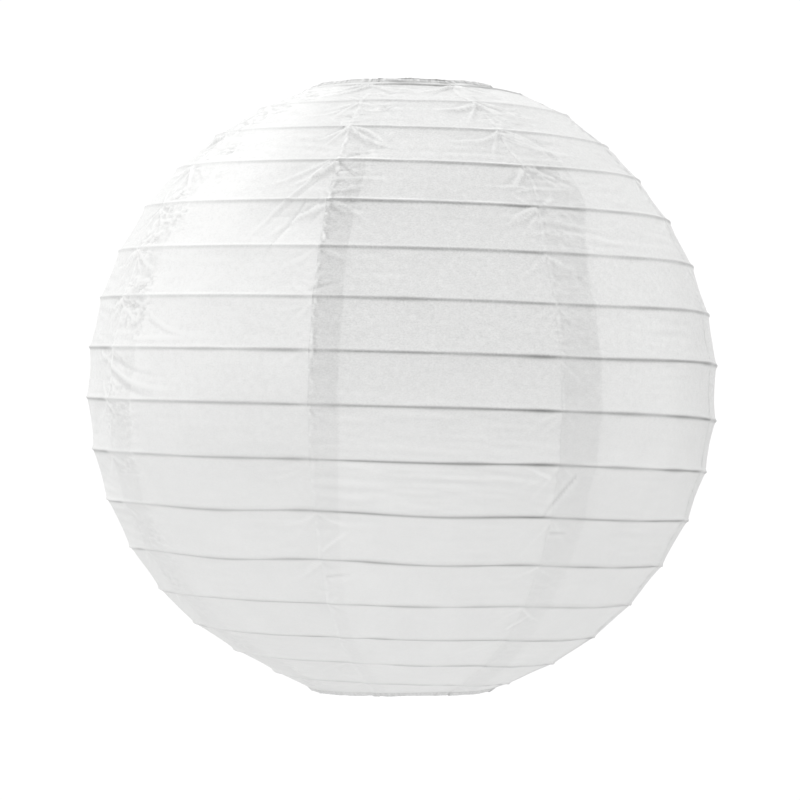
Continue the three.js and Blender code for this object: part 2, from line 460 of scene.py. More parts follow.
def streaks_and_pimples(k, p):
    """Long flat streaks that run along the ribs, and a fine unevenness."""
    slope = 0.03 + 0.05 * BUCKLE(p.round_ / 30 + 3, p.band * 1.3)
    slanted = p.from_above - slope * p.along
    streaky = 0.10 + 0.55 * smooth(0.1, 0.8, EDGE(p.round_ / 19 + 7, p.band * 2.9 + 3))
    streaky *= 1 - 0.6 * smooth(80, 100, p.down)
    streaky += STREAKS[k] * plateau(p.down, 103, 11)
    wrinkles = 0.22 * WAVES(p.round_ / 13 + 9, slanted / 3.0 + p.band * 9.3)
    wrinkles += 0.11 * FINE(p.round_ / 4.5, slanted / 1.8 + p.band * 5.1)
    wrinkles *= streaky * p.free
    pimples = 0.06 - 0.05 * smooth(76, 112, p.down)
    fine = FINE(p.along / 2.2 + 40, p.from_above / 2.2 + p.band * 8.3)
    return wrinkles + pimples * p.free * fine


def ridge_above_rib(k, p):
    """The fine ridge that the paper is drawn up into just above a rib, from 0 to 1. It
    raises the paper a little and sets a painted highlight along it.
    """
    ridge = RIDGES[k] * (1 - smooth(56, 72, p.down)) * p.has_below
    ridge *= np.clip(0.6 + 0.8 * EDGE(p.round_ / 6 + 11, p.band * 4.1), 0, 1)
    return ridge * bell(p.from_below, 1.0, 0.40)


def seam_wrinkles(seam, p):
    """The wrinkles in and beside one seam's lap, in mm, most of them in the upper half,
    and where the paper is finely crinkled, which sets its painted crinkle light and shade."""
    x = right_of_seam(seam, p.down, p.round_)
    crumple = SEAMS[seam % GORES].crumple
    beside = beside_lap(x, lap_width(seam, p.down))
    upper = 0.10 + 0.90 * bell(np.maximum(p.down, 48), 48, 13 + 16 * crumple)
    patchy = BUCKLE(seam * 7.7 + x / 14, p.down / 3.6)
    patchy = 0.15 + 0.95 * smooth(-0.35, 0.5, patchy)
    amount = crumple * patchy * (0.25 + 0.75 * bell(np.maximum(p.down, 76), 76, 15))
    top = 0.75 * patchy * bell(p.down, 36, 20)
    crinkle_shade = np.exp(-beside / 8.0) * (amount + top) * (0.4 + 0.6 * p.free)
    creases = crumpled(seam % GORES, x, radians(p.down) * PAPER_R_MM) - 0.25
    creases = 0.70 * amount * np.exp(-beside / 5.0) * p.free * creases
    strength = 1.25 * SEAMS[seam % GORES].folds * upper * (0.2 + 0.8 * p.free)
    return creases + seam_folds(seam, p.down, x, strength), crinkle_shade


def rib_shade(k, p):
    """How dark the wire shows through the paper just below each rib, with the painted shadow
    under the rib.
    """
    turn = np.where(p.share > 0.5, np.minimum(p.band, TURNS), np.maximum(p.band - 1, 0))
    uneven = 0.9 + 0.35 * BUCKLE(p.round_ / 8 + 60, p.band + p.share + 0.5)
    rib_dark = TURN_SHOWS[turn] * RIB_SHOWS[k] * uneven

    # Less at the gore's left edge, but for an uncrumpled lap, and less at its right edge.
    x = right_of_seam(k, p.down, p.round_)
    crumple = SEAMS[k].crumple
    in_lap = 1 - smooth(0.7, 1.5, x / lap_width(k, p.down))
    fade = RIB_FADES[k] * (1 - p.along / 130)
    fade = fade * (1 - (1 - crumple) * in_lap)
    rib_dark *= 1 - np.clip(fade, 0, 0.9) * (1 - smooth(68, 84, p.down))
    rib_dark *= 1 - 0.45 * crumple**2 * (1 - smooth(10, 75, x))
    rib_dark *= 1 - RIGHT_RIBS[k] * smooth(20, 60, p.along) * (1 - smooth(80, 95, p.down))

    # Beside a seam it is thick on the left and thin on the right.
    for seam in (k, k + 1):
        x = right_of_seam(seam, p.down, p.round_)
        rib_dark *= 1 + 0.30 * bell(x, -9, 7) - 0.30 * bell(x, 4, 7)
        inside = bell(beside_lap(x, lap_width(seam, p.down)), 0, 3)
        rib_dark *= 1 - 0.5 * SEAMS[seam % GORES].crumple ** 2 * inside
        wedge = np.where(x < 0, np.exp(np.minimum(x, 0) / 15), 0)
        wedge = wedge * (1 - smooth(50, 60, p.down))
        rib_dark *= 1 + 0.25 * wedge * smooth(30, 36, p.down)
    thick = 0.85 * (0.85 + 0.25 * WAVES(p.round_ / 6 + 30, p.band + p.share))
    return rib_dark * np.maximum(
        bell(p.from_above, SHADE_BELOW, thick) * p.has_above,
        bell(p.from_below, -SHADE_BELOW, thick) * p.has_below,
    )


def relief(k, p):
    """How far the paper of gore k, counted from START, stands out from the base surface,
    in mm, how much of that is wrinkles, how dark the wires show through with a painted
    shadow under each rib and a painted highlight above it, and where the paper is finely
    crinkled, for its painted crinkle light and shade."""
    ridge = ridge_above_rib(k, p)
    out = dips_and_rises(p) + 0.12 * ridge
    wrinkles = streaks_and_pimples(k, p)
    crinkle_shade = np.zeros_like(p.down)
    for seam in (k, k + 1):
        creases, fine = seam_wrinkles(seam, p)
        wrinkles += creases
        crinkle_shade += fine

    # The outer edge of the gore is glued down, and lifts only here and there.
    x = right_of_seam(k, p.down, p.round_)
    lift = smooth(0.45, 0.9, EDGE(p.down * 0.9, k * 3.1 + 0.5))
    out += 0.12 * lift * p.free * np.exp(-np.maximum(x, 0) / 1.3)
    # The ridge above a rib lightens the dark line there: a painted highlight.
    return out + wrinkles, wrinkles, rib_shade(k, p) - 0.45 * ridge, crinkle_shade


def blurred(values, times):
    """Values of a grid, each averaged with its neighbours so many times."""
    for _ in range(times):
        padded = np.pad(values, 1, mode="edge")
        rows = (padded[:-2, 1:-1] + 2 * padded[1:-1, 1:-1] + padded[2:, 1:-1]) / 4
        padded = np.pad(rows, 1, mode="edge")
        values = (padded[1:-1, :-2] + 2 * padded[1:-1, 1:-1] + padded[1:-1, 2:]) / 4
    return values


# ---------------------------------------------------------------- gores


BAND_ROWS = 23
BESIDE_RIB = [0, 0.3, 0.6, 0.9, 1.3, 1.9]  # mm from a rib to the rows beside it
MIDDLE_COLUMNS = 113
LAP_SHARES = np.concatenate([[0, 0.022, 0.05, 0.09], np.linspace(0.14, 1, 16)])
SHEET_APART = 0.4  # metres from one sheet to the next in the UV map


def band_shares():
    """Where a band's rows lie between its two ribs: close together beside the ribs."""
    beside = np.array(BESIDE_RIB) / (PITCH_ARC / MM)
    middle = np.linspace(beside[-1], 1 - beside[-1], BAND_ROWS)[1:-1]
    return np.concatenate([beside, middle, 1 - beside[:0:-1]])


def gore_rows():
    """The band of every row of points and its share of that band, top to bottom."""
    shares = band_shares()
    band = np.repeat(np.arange(TURNS + 1), len(shares))
    share = np.tile(shares, TURNS + 1)
    return np.append(band, TURNS)[:, None], np.append(share, 1.0)[:, None]


def gore_columns(k, down):
    """The angle round of every point of gore k. Its two laps have the same columns as
    the neighbours' laps over and under them. down has one column, or one for each."""
    left = seam_angle(k, down)
    right = seam_angle(k + 1, down)
    first = left + lap_angle(k, down)
    columns = 2 * len(LAP_SHARES) + MIDDLE_COLUMNS
    a, b = len(LAP_SHARES), len(LAP_SHARES) + MIDDLE_COLUMNS
    middle = np.linspace(0, 1, MIDDLE_COLUMNS + 2)[1:-1]

    def part(values, start, end):
        return values[:, start:end] if values.shape[1] == columns else values

    place = np.empty((down.shape[0], columns))
    left_a, first_a = part(left, 0, a), part(first, 0, a)
    place[:, :a] = left_a + (first_a - left_a) * LAP_SHARES
    first_m, right_m = part(first, a, b), part(right, a, b)
    place[:, a:b] = first_m + (right_m - first_m) * middle
    last = part(lap_angle(k + 1, down), b, columns)
    place[:, b:] = part(right, b, columns) + last * LAP_SHARES
    return place


def gore_places(k):
    """The Place of every point of gore k. The rows follow the ribs, which slope, so the
    columns' places are found in a few steps."""
    band, share = gore_rows()
    round_ = gore_columns(k, np.linspace(END_ANGLE, 180 - END_ANGLE, len(band))[:, None])
    for _ in range(4):
        above, below = band_edges(band, round_)
        down = above + (below - above) * share
        round_ = gore_columns(k, down)
    band, share = (np.broadcast_to(values, down.shape) for values in (band, share))
    return place_on(k, down, round_, band, share)


def smooth_mesh(name, points, faces):
    mesh = bpy.data.meshes.new(name)
    mesh.from_pydata(points.reshape(-1, 3).tolist(), [], faces)
    mesh.shade_smooth()
    return mesh


def grid_faces(rows, columns, first=0):
    """The faces of a sheet of points, rows by columns, counted from first. The normals
    point out when the rows run down the ball and the columns anticlockwise from above."""
    index = np.arange(rows * columns).reshape(rows, columns) + first
    corners = [index[:-1, :-1], index[1:, :-1], index[1:, 1:], index[:-1, 1:]]
    return np.stack(corners, axis=-1).reshape(-1, 4).tolist()


def add_floats(mesh, name, values):
    attribute = mesh.attributes.new(name, "FLOAT", "POINT")
    attribute.data.foreach_set("value", np.asarray(values, np.float32).ravel())


def add_uv(mesh, u, v):
    """A UV map in metres along the paper, so that its pattern keeps one scale."""
    corner = np.empty(len(mesh.loops), np.int32)
    mesh.loops.foreach_get("vertex_index", corner)
    flat = np.stack([u.ravel()[corner], v.ravel()[corner]], axis=-1)
    mesh.uv_layers.new(name="paper").data.foreach_set("uv", flat.astype(np.float32).ravel())


def add_object(name, data):
    thing = bpy.data.objects.new(name, data)
    bpy.context.scene.collection.objects.link(thing)
    return thing


def gore_radius(k, down, round_, out):
    """How far from the lantern's centre the paper of gore k lies. It lies over its left
    neighbour in the lap and comes down on to the base surface beyond it."""
    x = right_of_seam(k, down, round_)
    lap = lap_width(k, down)
    over = (1 - smooth(lap * 1.05, lap * 1.9, x)) * (0.2 + 0.8 * smooth(0, 2.2, x))
    return base_radius(down, round_) + out * MM + LAYER * over


def two_layer_shade(k, p, x):
    """Painted shade where two sheets lie together, for the light through both; it shows
    least at the ends of the lantern.
    """
    lap = lap_width(k, p.down)
    ragged = 0.7 * EDGE(p.band * 1.7 + 0.5, k + 20.5)
    double_shade = 1 - smooth(lap - 0.5, lap + 0.4, x + ragged)
    shows = (0.1 + 0.9 * smooth(42, 54, p.down)) * (1 - 0.85 * smooth(82, 128, p.down))
    patchy = 0.95 + 0.28 * WAVES(x / 25 + k * 5, p.down / 1.2)
    return double_shade * shows * patchy * LAP_SHOWS[k]


def paper_tone_and_shade(k, p, gore_share):
    """How much brighter or darker than plain paper gore k is painted: partly its own tone
    and partly painted light and shade. gore_share is 0 at its left seam and 1 at its right
    one."""
    lower = smooth(82, 105, p.down)
    tone_and_shade = UPPER_TONE_AND_SHADE[k] * (1 - lower) + LOWER_TONE_AND_SHADE[k] * lower
    tone_and_shade += TOP_SHADE[k] * (1 - smooth(24, 52, p.down))
    right = RIGHT_HIGH[k] * (1 - smooth(56, 68, p.down))
    right += RIGHT_MIDDLE[k] * plateau(p.down, 88, 20)
    tone_and_shade -= right * smooth(0.45, 0.95, gore_share)
    tone_and_shade -= DUSK[k] * bell(p.down, 57, 9)
    # Painted shade just below the top ring.
    return tone_and_shade - 0.017 * HEM_SHADE[k] * (1 - smooth(19, 25, p.down))


def edge_highlight_and_shadow(k, p, x):
    """A painted highlight along the cut edge of gore k, with a fainter painted shadow to its
    right.
    """
    edge_light = np.clip(0.6 + 1.1 * EDGE(p.down * 2.3, k * 9.1), 0.05, 1.3)
    edge_light *= EDGE_HIGHLIGHT[k] * (1 - (1 - EDGE_SHOWS[k]) * (1 - smooth(34, 44, p.down)))
    edge_light *= 1 - 0.85 * smooth(80, 105, p.down)
    line = 0.9 + 1.1 * FINE(p.down * 1.1, k * 3.3)
    return edge_light * (bell(x, line, 0.7) - 0.6 * bell(x, line + 1.5, 0.7))


def ring_strand_shade(k, p, gore_share):
    """Painted shade on strands where the paper is drawn together over the top ring."""
    below_ring = p.down - MOUTH_ANGLE
    strands = bell(below_ring, 1.2 + 0.5 * WAVES(p.round_ / 12, 60.5), 0.6)
    strands += bell(below_ring, 2.9 + 0.7 * WAVES(p.round_ / 15, 70.5), 0.7)
    strands *= np.clip(0.9 + 0.8 * WAVES(p.round_ / 9, 80.5), 0, 1.2)
    strands *= smooth(0.1, 0.3, gore_share) * (1 - smooth(0.93, 1.02, gore_share))
    return HEM_SHADE[k] * strands


def make_gore(k, material):
    """Gore k, counted from START, which has the CAD gore's number in its name."""
    number = (START_GORE - 1 + k) % GORES + 1
    p = gore_places(k)
    out, wrinkles, wire_and_shadow, crinkle_shade = relief(k, p)
    points = on_ball(gore_radius(k, p.down, p.round_, out), p.down, p.round_)
    mesh = smooth_mesh(f"gore_{number}_paper", points, grid_faces(*p.down.shape))

    x = right_of_seam(k, p.down, p.round_)
    gore_share = (p.round_ - seam_angle(k, p.down)) / GORE_ANGLE
    grain = 0.2 + (1.15 * GRAIN[k] - 0.2) * (1 - smooth(76, 114, p.down))
    # Painted light and shade: crests are a little brighter than valleys.
    relief_shading = np.clip((wrinkles - blurred(wrinkles, 5)) / 0.13, -1, 1)
    # A painted highlight and shadow along the cut edge, and painted shade on the strands at
    # the ring.
    relief_shading += edge_highlight_and_shadow(k, p, x) - ring_strand_shade(k, p, gore_share)
    add_floats(mesh, "double_shade", two_layer_shade(k, p, x))
    add_floats(mesh, "wire", wire_and_shadow)
    add_floats(mesh, "tone_and_shade", paper_tone_and_shade(k, p, gore_share))
    add_floats(mesh, "crinkle_shade", np.minimum(crinkle_shade, 1.3))
    add_floats(mesh, "grain", grain)
    add_floats(mesh, "relief_shading", relief_shading)
    add_uv(mesh, p.along * MM + k * SHEET_APART, radians(p.down) * PAPER_R)
    mesh.materials.append(material)

    gore = add_object(f"gore_{number}_paper", mesh)
    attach(gore, "shade")
    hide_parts(f"gore_{number}")
    squash_to_top(gore)


def squash_to_top(piece):
    """Gives a piece its own copy of its mesh."""
    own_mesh(piece)


# ---------------------------------------------------------------- hems


HEM_COLUMNS = 90
HEM_TURN = radians(np.linspace(MOUTH_ANGLE, -165, 30))[:, None]  # round the ring's wire
HEM_CLEAR = 0.30 * MM  # from the ring's wire to the hem
HEM_OVERLAP = 0.12  # degrees that a hem starts over the end of a gore
SKIRT = np.array([[0.0], [0.3], [0.65]])  # its first rows, on the way to the ring


def hem_start(k, round_, up):
    """Where a hem starts, just over the end of gore k: the distance from the lantern's
    axis, and the height."""
    end = END_ANGLE + HEM_OVERLAP
    down = np.full((1, len(round_)), end if up > 0 else 180 - end)
    band = np.full(down.shape, 0 if up > 0 else TURNS)
    place = place_on(k, down, round_[None], band, np.where(band == 0, 0.0, 1.0))
    radius = gore_radius(k, down, place.round_, relief(k, place)[0] + 0.06)
    return radius * np.sin(radians(down)), CENTRE_Z + radius * np.cos(radians(down))


def hem_length(k, ring_z, up):
    """The points, UV map and painted crease light and shade of the length of a hem that
    belongs to gore k, as rows from outside to inside."""
    down = MOUTH_ANGLE if up > 0 else 180 - MOUTH_ANGLE
    left = float(seam_angle(k, down))
    right = float(seam_angle(k + 1, down) + lap_angle(k + 1, down))
    round_ = np.linspace(left, right, HEM_COLUMNS)
    x = radians(round_ - left) * MOUTH_R

    # It is drawn together into strands along the ring and fine pleats across it.
    drift = 1.4 * WAVES(round_ / 11 + 5, k * 3.0 + up)
    strands = 1 - np.abs(CRUMPLE(round_ / 15 + up * 7, HEM_TURN * 2.1 + drift + k * 5.0))
    pleats = np.maximum(FINE(round_ / 1.4, HEM_TURN * 0.8 + k * 5.0), 0)
    rise = 0.34 * (strands**3 - 0.3) + 0.12 * pleats
    lap = lap_width(k, down) * MM
    layer = LAYER * (1 - smooth(lap, lap * 1.9, x))
    radius = WIRE_R + HEM_CLEAR + layer + rise * MM
    flat = MOUTH_R + radius * np.sin(HEM_TURN)
    z = ring_z + up * radius * np.cos(HEM_TURN)

    start_flat, start_z = hem_start(k, round_, up)
    flat = np.concatenate([start_flat + (flat[:1] - start_flat) * SKIRT, flat])
    z = np.concatenate([start_z + (z[:1] - start_z) * SKIRT, z])
    turn = np.concatenate([HEM_TURN[:1] + 1.9 * (1 - SKIRT), HEM_TURN])
    rise = np.concatenate([np.repeat(rise[:1], len(SKIRT), axis=0), rise])
    side = radians(round_)
    points = np.stack([flat * np.cos(side), flat * np.sin(side), z], axis=-1)

    u = np.broadcast_to(x + k * SHEET_APART, rise.shape)
    v = np.broadcast_to(turn * WIRE_R, rise.shape)
    # Painted light and shade: crests of the strands and pleats brighter, valleys darker, and
    # patches of painted shade, strongest at the top ring.
    relief_shading = np.clip((rise - blurred(rise, 4)) / 0.045, -2, 0.7) * (1.6 if up > 0 else 0.6)
    dark = np.clip(1.6 * WAVES(round_ / 14 + 3, turn * 1.8 + drift + k * 2.0) + 0.25, 0, 1)
    relief_shading = relief_shading - HEM_SHADE[k] * (1 if up > 0 else 0.12) * dark
    return points, u, v, relief_shading


def make_hem(name, ring_z, up, body, material):
    """The paper folded over an end ring from outside to inside: eight lengths, each
    lapped over the next, that start just over the ends of the gores. up is 1 at the top
    ring and -1 at the bottom one."""
    lengths = zip(*(hem_length(k, ring_z, up) for k in range(GORES)))
    points, u, v, relief_shading = (np.stack(parts) for parts in lengths)
    if up > 0:  # the other way round, so that the normals point out here too
        points = points[:, ::-1]
        relief_shading = relief_shading[:, ::-1]
    rows, columns = relief_shading.shape[1:]
    faces = []
    for k in range(GORES):
        faces += grid_faces(rows, columns, k * rows * columns)
    mesh = smooth_mesh(name, points, faces)
    add_uv(mesh, u, v)
    # The hem is painted darker, most at the top ring: painted shade.
    tone_and_shade = -0.07 if up > 0 else -0.02
    same = {"double_shade": 1.4, "wire": 0, "tone_and_shade": tone_and_shade, "crinkle_shade": 0, "grain": 1}
    for attribute, value in same.items():
        add_floats(mesh, attribute, np.full(relief_shading.shape, value))
    add_floats(mesh, "relief_shading", relief_shading)
    mesh.materials.append(material)
    hem = add_object(name, mesh)
    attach(hem, body)


# ---------------------------------------------------------------- wires


STEPS_A_TURN = 120
SPIRAL_SIDES = 8
RING_STEPS = 160
WIRE_SIDES = 14
UNDER_PAPER = 0.14  # mm from the paper's surface over a rib to the wire


def tube(name, path, radius, sides, closed=False):
    """A round wire along a list of points, as a closed mesh. The UV map runs along the
    wire and round it, in metres."""
    path = np.asarray(path, float)
    count = len(path)
    if closed:
        ahead = np.roll(path, -1, axis=0) - np.roll(path, 1, axis=0)
    else:
        ahead = np.gradient(path, axis=0)
    ahead /= np.linalg.norm(ahead, axis=1)[:, None]
    side = np.zeros_like(path)
    first = np.cross(ahead[0], [0.31, 0.95, 0.05])
    side[0] = first / np.linalg.norm(first)
    for i in range(1, count):
        turned = side[i - 1] - ahead[i] * (side[i - 1] @ ahead[i])
        side[i] = turned / np.linalg.norm(turned)
    other = np.cross(ahead, side)
    angle = np.linspace(0, 2 * np.pi, sides, endpoint=False)
    ring = np.cos(angle)[:, None] * side[:, None] + np.sin(angle)[:, None] * other[:, None]
    points = path[:, None] + radius * ring
    index = np.arange(count * sides).reshape(count, sides)
    rows = np.vstack([index, index[:1]]) if closed else index
    over = np.roll(rows, -1, axis=1)
    corners = [rows[:-1], over[:-1], over[1:], rows[1:]]
    faces = np.stack(corners, axis=-1).reshape(-1, 4).tolist()
    if not closed:
        faces.append(index[0][::-1].tolist())
        faces.append(index[-1].tolist())
    mesh = smooth_mesh(name, points, faces)
    steps = np.linalg.norm(np.diff(path, axis=0), axis=1)
    length = np.concatenate([[0], np.cumsum(steps)])
    u = np.broadcast_to(length[:, None], (count, sides))
    v = np.broadcast_to(angle * radius, (count, sides))
    add_uv(mesh, u, v)
    return mesh


def add_wire(name, mesh, material, body, node):
    mesh.materials.append(material)
    wire = add_object(name, mesh)
    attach(wire, body)
    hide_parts(node)
    return wire


def make_spiral(material):
    """One wire, just under the paper, from the top ring to the bottom one."""
    first = (END_ANGLE - MOUTH_ANGLE) / PITCH
    turn = np.linspace(first, TURNS - first, TURNS * STEPS_A_TURN + 1)
    down = coil_down(turn)
    round_ = START + turn * 360
    radius = base_radius(down, round_) + (RIB_RISE - UNDER_PAPER) * MM - RIB_WIRE_R
    path = on_ball(radius, down, round_)
    mesh = tube("spiral_rib_wire", path, RIB_WIRE_R, SPIRAL_SIDES)
    wire = add_wire("spiral_rib_wire", mesh, material, "shade", "spiral_rib")
    squash_to_top(wire)


def make_ring(name, ring_z, material, body, node):
    """A round hoop in the hem of an opening."""
    path = []
    for angle in np.linspace(0, 2 * np.pi, RING_STEPS, endpoint=False):
        path.append((MOUTH_R * math.cos(angle), MOUTH_R * math.sin(angle), ring_z))
    mesh = tube(name, path, WIRE_R, WIRE_SIDES, closed=True)
    add_wire(name, mesh, material, body, node)


# The expander's bends, in millimetres, as in the CAD model.
LEG_X = 28
BEND_R = 3
SHOULDER_X = 40
HAIRPIN_R = 2.45
CROWN_R = 7
DIP_R = 4
DIP_DEPTH = 18
WIRE_GAP = 0.3
ARC_STEP = 6  # degrees, about
STRAIGHT_STEP = 6.4 * MM  # or more, on a long straight length
STRAIGHT_PIECES = 24


def arc(x, z, radius, first, last):
    """Points along an arc in the XZ plane."""
    count = max(8, round(abs(last - first) / ARC_STEP))
    angle = radians(np.linspace(first, last, count))
    return [(x + radius * math.cos(a), z + radius * math.sin(a)) for a in angle]


def even_path(points):
    """Adds points to a path's long straight lengths, and keeps those of its bends."""
    points = [np.array(point, float) for point in points]
    path = [points[0]]
    for a, b in zip(points, points[1:]):
        length = np.linalg.norm(b - a)
        if length < 1e-7:
            continue
        pieces = max(1, min(STRAIGHT_PIECES, round(length / STRAIGHT_STEP)))
        path += [a + (b - a) * i / pieces for i in range(1, pieces + 1)]
    return path


def make_expander(material):
    """One bent wire: the loop in the middle, and on each side a dip, a shoulder that
    hooks round the top ring, a leg and a foot over the lower ring."""
    foot_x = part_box("expander")[1].x / MM
    ring_z = RING_Z / MM
    wire = WIRE_R / MM
    reach = HAIRPIN_R + 2 * wire + WIRE_GAP
    hairpin_z = ring_z - math.sqrt(reach**2 - (MOUTH_R / MM - SHOULDER_X) ** 2)
    arm_z = hairpin_z + HAIRPIN_R
    strand_z = hairpin_z - HAIRPIN_R
    foot_z = -ring_z + 2 * wire + WIRE_GAP
    dip_x = CROWN_R + DIP_R
    arm_x = dip_x + DIP_R
    right = arc(0, ring_z - CROWN_R, CROWN_R, 90, 0)
    right += arc(dip_x, ring_z - DIP_DEPTH, DIP_R, -180, 0)
    right += arc(arm_x + BEND_R, arm_z - BEND_R, BEND_R, 180, 90)
    right += arc(SHOULDER_X, hairpin_z, HAIRPIN_R, 90, -90)
    right += arc(LEG_X + BEND_R, strand_z - BEND_R, BEND_R, 90, 180)
    right += arc(LEG_X + BEND_R, foot_z + BEND_R, BEND_R, 180, 270)
    right += [(foot_x, foot_z)]
    left = [(-x, z) for x, z in right[:0:-1]]
    path = [(x * MM, 0, CENTRE_Z + z * MM) for x, z in left + right]
    mesh = tube("expander_wire", even_path(path), WIRE_R, WIRE_SIDES)
    add_wire("expander_wire", mesh, material, "shade", "expander")


# ---------------------------------------------------------------- materials


class Nodes:
    """Short forms for building a material's node tree."""

    def __init__(self, name):
        self.material = bpy.data.materials.new(name)
        self.material.use_nodes = True
        self.tree = self.material.node_tree
        self.tree.nodes.clear()

    def add(self, kind, inputs=None, **settings):
        node = self.tree.nodes.new(kind)
        for key, value in settings.items():
            setattr(node, key, value)
        for key, value in (inputs or {}).items():
            if isinstance(value, bpy.types.NodeSocket):
                self.tree.links.new(value, node.inputs[key])
            else:
                node.inputs[key].default_value = value
        return node

    def maths(self, operation, a, b=0.0, c=0.0):
        node = self.add("ShaderNodeMath", {0: a, 1: b, 2: c}, operation=operation)
        return node.outputs[0]

    def noise(self, vector, scale, detail=2.0, roughness=0.5, distortion=0.0):
        inputs = {"Vector": vector, "Scale": scale, "Detail": detail}
        inputs.update({"Roughness": roughness, "Distortion": distortion})
        return self.add("ShaderNodeTexNoise", inputs).outputs["Fac"]

    def stretch(self, vector, scale):
        return self.add("ShaderNodeMapping", {"Vector": vector, "Scale": scale}).outputs[0]

    def value(self, name):
        return self.add("ShaderNodeAttribute", attribute_name=name).outputs["Fac"]


PAPER_COLOUR = (0.900, 0.902, 0.897)
# How much painted shade darkens a lap, for the light through two sheets.
DOUBLE_SHADE = 0.072
# How dark the wire seen through the paper and the painted shadow under each rib are.
WIRE_AND_SHADOW_DARKER = 0.46
# How strong the painted light and shade of crests, valleys, cut edges and ring strands is.
RELIEF_SHADING_SCALE = 0.09
SPECK_DARKER = 0.22
WHITEST = 1.08
LIGHT_THROUGH = 0.14  # how much of the light goes through the paper


def painted_crinkles(n, place):
    """Painted light and shade of crumpled paper: small facets, each painted as if tilted its
    own way, with bright painted crests between.
    """
    bent = n.add("ShaderNodeTexNoise", {"Vector": place, "Scale": 330.0, "Detail": 1.0})
    warp = {0: bent.outputs["Color"], 1: (0.008, 0.0025, 0.0), 2: place}
    warped = n.add("ShaderNodeVectorMath", warp, operation="MULTIPLY_ADD").outputs[0]
    cell = {"Vector": n.stretch(warped, (0.42, 1.45, 1.0)), "Scale": 175.0}
    facets = n.add("ShaderNodeTexVoronoi", cell).outputs["Color"]
    facet = n.add("ShaderNodeSeparateColor", {"Color": facets}).outputs[0]
    rim = n.add("ShaderNodeTexVoronoi", cell, feature="DISTANCE_TO_EDGE").outputs["Distance"]
    crest = n.maths("MAXIMUM", n.maths("MULTIPLY_ADD", rim, -1 / 0.06, 1.0), 0.0)
    broken = n.maths("MULTIPLY_ADD", n.noise(place, 160, 1.0), 6.0, -3.0)
    broken = n.maths("MINIMUM", n.maths("MAXIMUM", broken, -0.7), 1.0)
    crinkle = n.maths("MULTIPLY_ADD", n.maths("MULTIPLY", crest, broken), 0.190, -0.045)
    return n.maths("MULTIPLY_ADD", facet, 0.070, crinkle)


def specks(n, place):
    """A few dark specks of bark in the pulp."""
    cells = n.add("ShaderNodeTexVoronoi", {"Vector": place, "Scale": 45.0})
    chosen = n.add("ShaderNodeSeparateColor", {"Color": cells.outputs["Color"]}).outputs[0]
    rare = n.maths("GREATER_THAN", chosen, 0.86)
    dot = n.maths("LESS_THAN", cells.outputs["Distance"], 0.013)
    return n.maths("MULTIPLY", n.maths("MULTIPLY", rare, dot), SPECK_DARKER)


def paper_material():
    """Thin white paper. The meshes' attributes say where it is double, with painted shade
    there, where the wire shows through with a painted shadow under each rib, how grainy it
    is, and the painted light and shade of each sheet, its crinkles, creases and edges."""
    n = Nodes("lantern_paper")
    place = n.add("ShaderNodeUVMap", uv_map="paper").outputs[0]

    # Thickness of the pulp: soft clouds, clumps of fibre and single fibres.
    clouds = n.noise(place, 60, 2.0, 0.5)
    clumps = n.noise(place, 420, 3.0, 0.65)
    fibres = n.noise(n.stretch(place, (1.0, 1.5, 1.0)), 1050, 2.0, 0.6, 0.8)
    pulp = n.maths("MULTIPLY_ADD", clumps, 0.110, -0.225)
    pulp = n.maths("MULTIPLY_ADD", fibres, 0.340, pulp)
    pulp = n.maths("MULTIPLY", pulp, n.value("grain"))
    level = n.maths("ADD", pulp, n.maths("MULTIPLY_ADD", clouds, 0.060, 0.970))
    # Painted light and shade of crinkled paper.
    level = n.maths("MULTIPLY_ADD", painted_crinkles(n, place), n.value("crinkle_shade"), level)
    level = n.maths("SUBTRACT", level, specks(n, place))

    # Painted shade where two layers lie in a lap, the wire that shows through with a painted
    # shadow under each rib, and each sheet's tone with painted light and shade.
    double_shade = n.maths("MULTIPLY", n.value("double_shade"), DOUBLE_SHADE)
    wire = n.maths("MULTIPLY", n.value("wire"), WIRE_AND_SHADOW_DARKER)
    level = n.maths("SUBTRACT", level, n.maths("ADD", double_shade, wire))
    level = n.maths("ADD", level, n.value("tone_and_shade"))
    # Painted light and shade of crests and valleys, cut edges and ring strands.
    level = n.maths("MULTIPLY_ADD", n.value("relief_shading"), RELIEF_SHADING_SCALE, level)
    level = n.maths("MINIMUM", level, WHITEST)
    tinted = {0: PAPER_COLOUR, "Scale": level}
    colour = n.add("ShaderNodeVectorMath", tinted, operation="SCALE").outputs[0]

    height = n.maths("MULTIPLY_ADD", clumps, 0.6, n.maths("MULTIPLY", fibres, 0.4))
    strength = n.maths("MULTIPLY", n.value("grain"), 0.35)
    bumpy = {"Strength": strength, "Distance": 0.10 * MM, "Height": height}
    bump = n.add("ShaderNodeBump", bumpy).outputs[0]
    rough = n.maths("MULTIPLY_ADD", clumps, 0.12, 0.80)
    look = {"Base Color": colour, "Roughness": rough, "Normal": bump}
    face = n.add("ShaderNodeBsdfPrincipled", look | {"Specular IOR Level": 0.25})
    glow = n.add("ShaderNodeBsdfTranslucent", {"Color": colour, "Normal": bump})
    sheet = {0: LIGHT_THROUGH, 1: face.outputs[0], 2: glow.outputs[0]}
    mix = n.add("ShaderNodeMixShader", sheet)
    n.add("ShaderNodeOutputMaterial", {"Surface": mix.outputs[0]})
    return n.material


